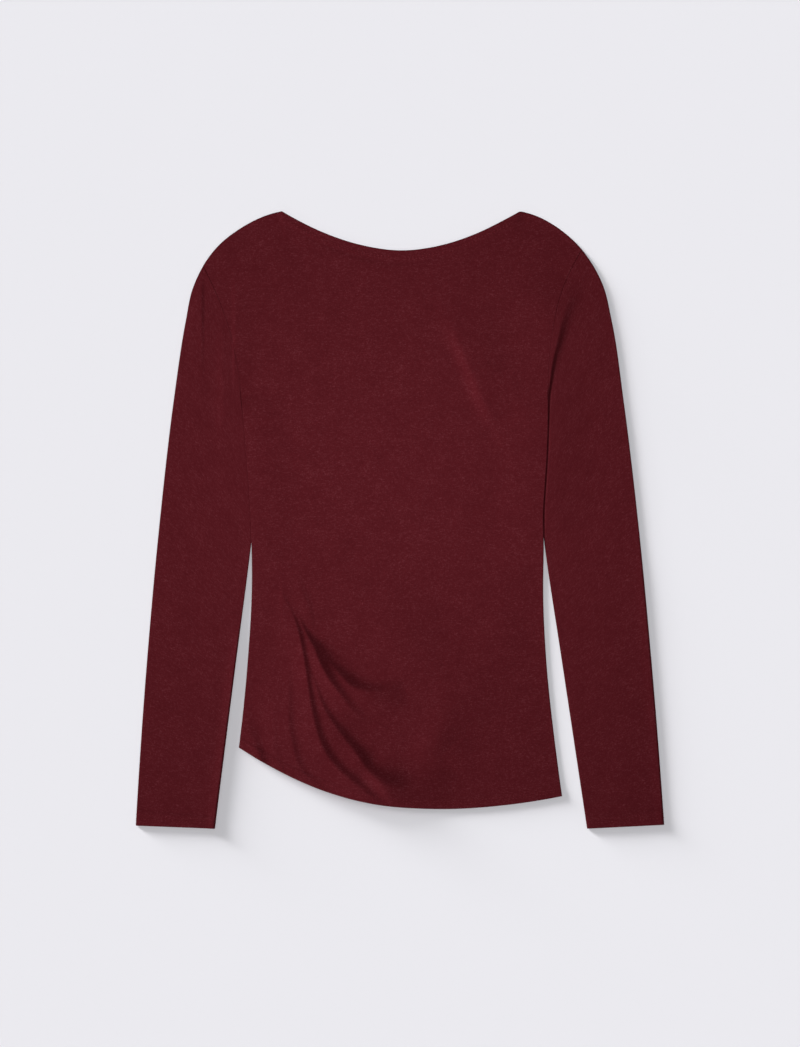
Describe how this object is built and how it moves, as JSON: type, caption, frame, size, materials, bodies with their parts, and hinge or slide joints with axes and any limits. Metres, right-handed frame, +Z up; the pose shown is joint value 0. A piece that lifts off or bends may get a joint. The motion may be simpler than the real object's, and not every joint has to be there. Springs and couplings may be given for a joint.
{
  "type": "long-sleeve jersey top",
  "caption": "Long-sleeve jersey top with a boat neck and an asymmetric hem gathered into soft folds at one hip, laid flat.",
  "frame": {"origin": "bottom centre of the box of the top as it lies, on the surface it rests on", "axes": "+Y from the cuffs towards the neck, +Z up out of the front, +X to the right as seen from above"},
  "size_m": [0.552, 0.6454, 0.0077],
  "materials": {
    "jersey": "fine melange jersey, matt with a faint nap"
  },
  "bodies": {
    "root": {"back_panel": "jersey", "front_panel": "jersey", "sleeve_left": "jersey", "sleeve_right": "jersey"}
  },
  "joints": []
}
